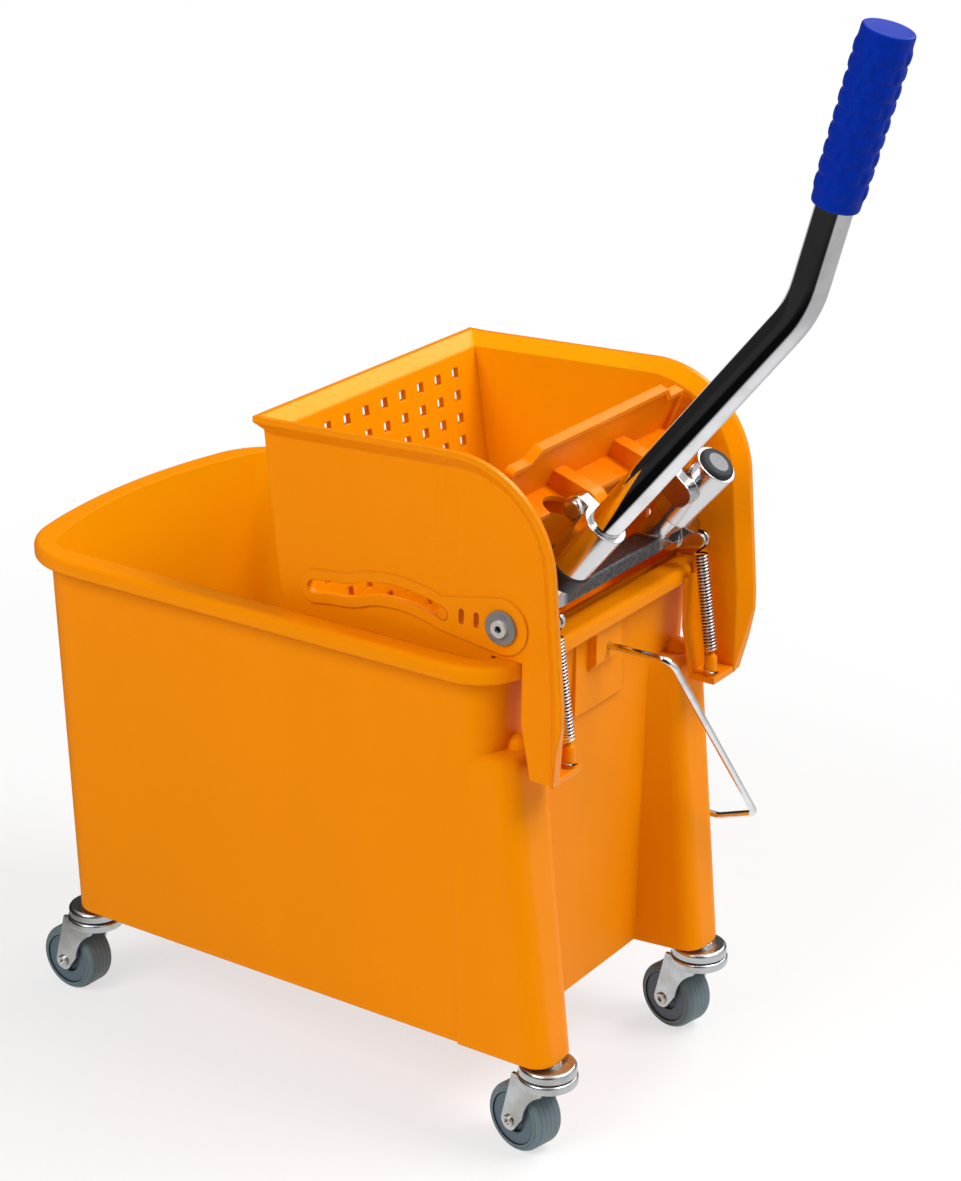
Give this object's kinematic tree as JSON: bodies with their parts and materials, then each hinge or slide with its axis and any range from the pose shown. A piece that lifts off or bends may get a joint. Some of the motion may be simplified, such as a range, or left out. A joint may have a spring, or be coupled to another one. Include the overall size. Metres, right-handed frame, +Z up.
{
  "type": "mop bucket with wringer",
  "caption": "Wheeled plastic mop bucket with a lift-off lever press wringer, wire carry bail, sprung crank handle and swivel casters.",
  "frame": {"origin": "on the floor, under the middle of the overall length and width", "axes": "+X along the bucket to the wringer end, +Y across to the far side, +Z up"},
  "size_m": [0.6656, 0.291, 0.7846],
  "materials": {
    "bucket_plastic": "satin moulded yellow",
    "wringer_plastic": "satin moulded yellow",
    "plate_plastic": "satin moulded yellow",
    "bail_chrome": "bright wire",
    "handle_chrome": "polished tube",
    "crank_casting": "polished sockets, grained bar",
    "fastener_steel": "plated",
    "washer_steel": "plated",
    "spring_steel": "bright wire",
    "grip_plastic": "matt blue",
    "black_plastic": "matt black",
    "caster_zinc": "zinc plated",
    "hub_plastic": "grey moulded",
    "tyre_rubber": "grey rubber"
  },
  "bodies": {
    "bucket": {"bucket": "bucket_plastic", "wringer_near_stem": "caster_zinc", "wringer_near_race": "caster_zinc", "wringer_far_stem": "caster_zinc", "wringer_far_race": "caster_zinc", "spout_near_stem": "caster_zinc", "spout_near_race": "caster_zinc", "spout_far_stem": "caster_zinc", "spout_far_race": "caster_zinc"},
    "bail": {"carry_bail": "bail_chrome"},
    "wringer": {"wringer_frame": "wringer_plastic", "return_spring_near": "spring_steel", "return_spring_far": "spring_steel"},
    "crank": {"crank": "crank_casting", "pivot_bolts": "fastener_steel", "pivot_washers": "washer_steel", "handle_tube": "handle_chrome", "handle_grip": "grip_plastic", "socket_bush": "black_plastic", "socket_plug": "black_plastic"},
    "plate": {"press_plate": "plate_plastic", "plate_hinge_pins": "fastener_steel"},
    "wringer_near_swivel": {"wringer_near_fork": "caster_zinc", "wringer_near_axle": "fastener_steel"},
    "wringer_near_wheel": {"wringer_near_hub": "hub_plastic", "wringer_near_tyre": "tyre_rubber"},
    "wringer_far_swivel": {"wringer_far_fork": "caster_zinc", "wringer_far_axle": "fastener_steel"},
    "wringer_far_wheel": {"wringer_far_hub": "hub_plastic", "wringer_far_tyre": "tyre_rubber"},
    "spout_near_swivel": {"spout_near_fork": "caster_zinc", "spout_near_axle": "fastener_steel"},
    "spout_near_wheel": {"spout_near_hub": "hub_plastic", "spout_near_tyre": "tyre_rubber"},
    "spout_far_swivel": {"spout_far_fork": "caster_zinc", "spout_far_axle": "fastener_steel"},
    "spout_far_wheel": {"spout_far_hub": "hub_plastic", "spout_far_tyre": "tyre_rubber"}
  },
  "joints": [
    {"name": "bail_swing", "type": "hinge", "parent": "bucket", "child": "bail", "pos_m": [-0.07326, 0, 0.3355], "axis": [1, 0, 0], "range_deg": [0, 90]},
    {"name": "wringer_lift", "type": "slide", "parent": "bucket", "child": "wringer", "axis": [0, 0, 1], "range_m": [0, 0.12]},
    {"name": "crank_press", "type": "hinge", "parent": "wringer", "child": "crank", "pos_m": [0.09674, 0, 0.386], "axis": [0, -1, 0], "range_deg": [0, 54], "stiffness_Nm_per_rad": 2, "springref_deg": -22.92, "deforming": ["return_spring_near", "return_spring_far"]},
    {"name": "plate_tilt", "type": "hinge", "parent": "crank", "child": "plate", "pos_m": [0.10974, 0, 0.4495], "axis": [0, -1, 0], "range_deg": [-67.5, 0]},
    {"name": "wringer_near_swivel", "type": "hinge", "parent": "bucket", "child": "wringer_near_swivel", "pos_m": [0.12674, -0.1015, 0.065], "axis": [0, 0, 1], "continuous": true},
    {"name": "wringer_near_roll", "type": "hinge", "parent": "wringer_near_swivel", "child": "wringer_near_wheel", "pos_m": [0.10669, -0.09724, 0.025], "axis": [0.2079, 0.9781, 0], "continuous": true},
    {"name": "wringer_far_swivel", "type": "hinge", "parent": "bucket", "child": "wringer_far_swivel", "pos_m": [0.12674, 0.1015, 0.065], "axis": [0, 0, 1], "continuous": true},
    {"name": "wringer_far_roll", "type": "hinge", "parent": "wringer_far_swivel", "child": "wringer_far_wheel", "pos_m": [0.10669, 0.10576, 0.025], "axis": [0.2079, 0.9781, 0], "continuous": true},
    {"name": "spout_near_swivel", "type": "hinge", "parent": "bucket", "child": "spout_near_swivel", "pos_m": [-0.27126, -0.1015, 0.065], "axis": [0, 0, 1], "continuous": true},
    {"name": "spout_near_roll", "type": "hinge", "parent": "spout_near_swivel", "child": "spout_near_wheel", "pos_m": [-0.29174, -0.10064, 0.025], "axis": [0.0419, 0.9991, 0], "continuous": true},
    {"name": "spout_far_swivel", "type": "hinge", "parent": "bucket", "child": "spout_far_swivel", "pos_m": [-0.27126, 0.1015, 0.065], "axis": [0, 0, 1], "continuous": true},
    {"name": "spout_far_roll", "type": "hinge", "parent": "spout_far_swivel", "child": "spout_far_wheel", "pos_m": [-0.29156, 0.10435, 0.025], "axis": [0.1392, 0.9903, 0], "continuous": true}
  ],
  "couplings": [
    {"joint": "plate_tilt", "follows": "crank_press", "ratio": -1.25}
  ]
}
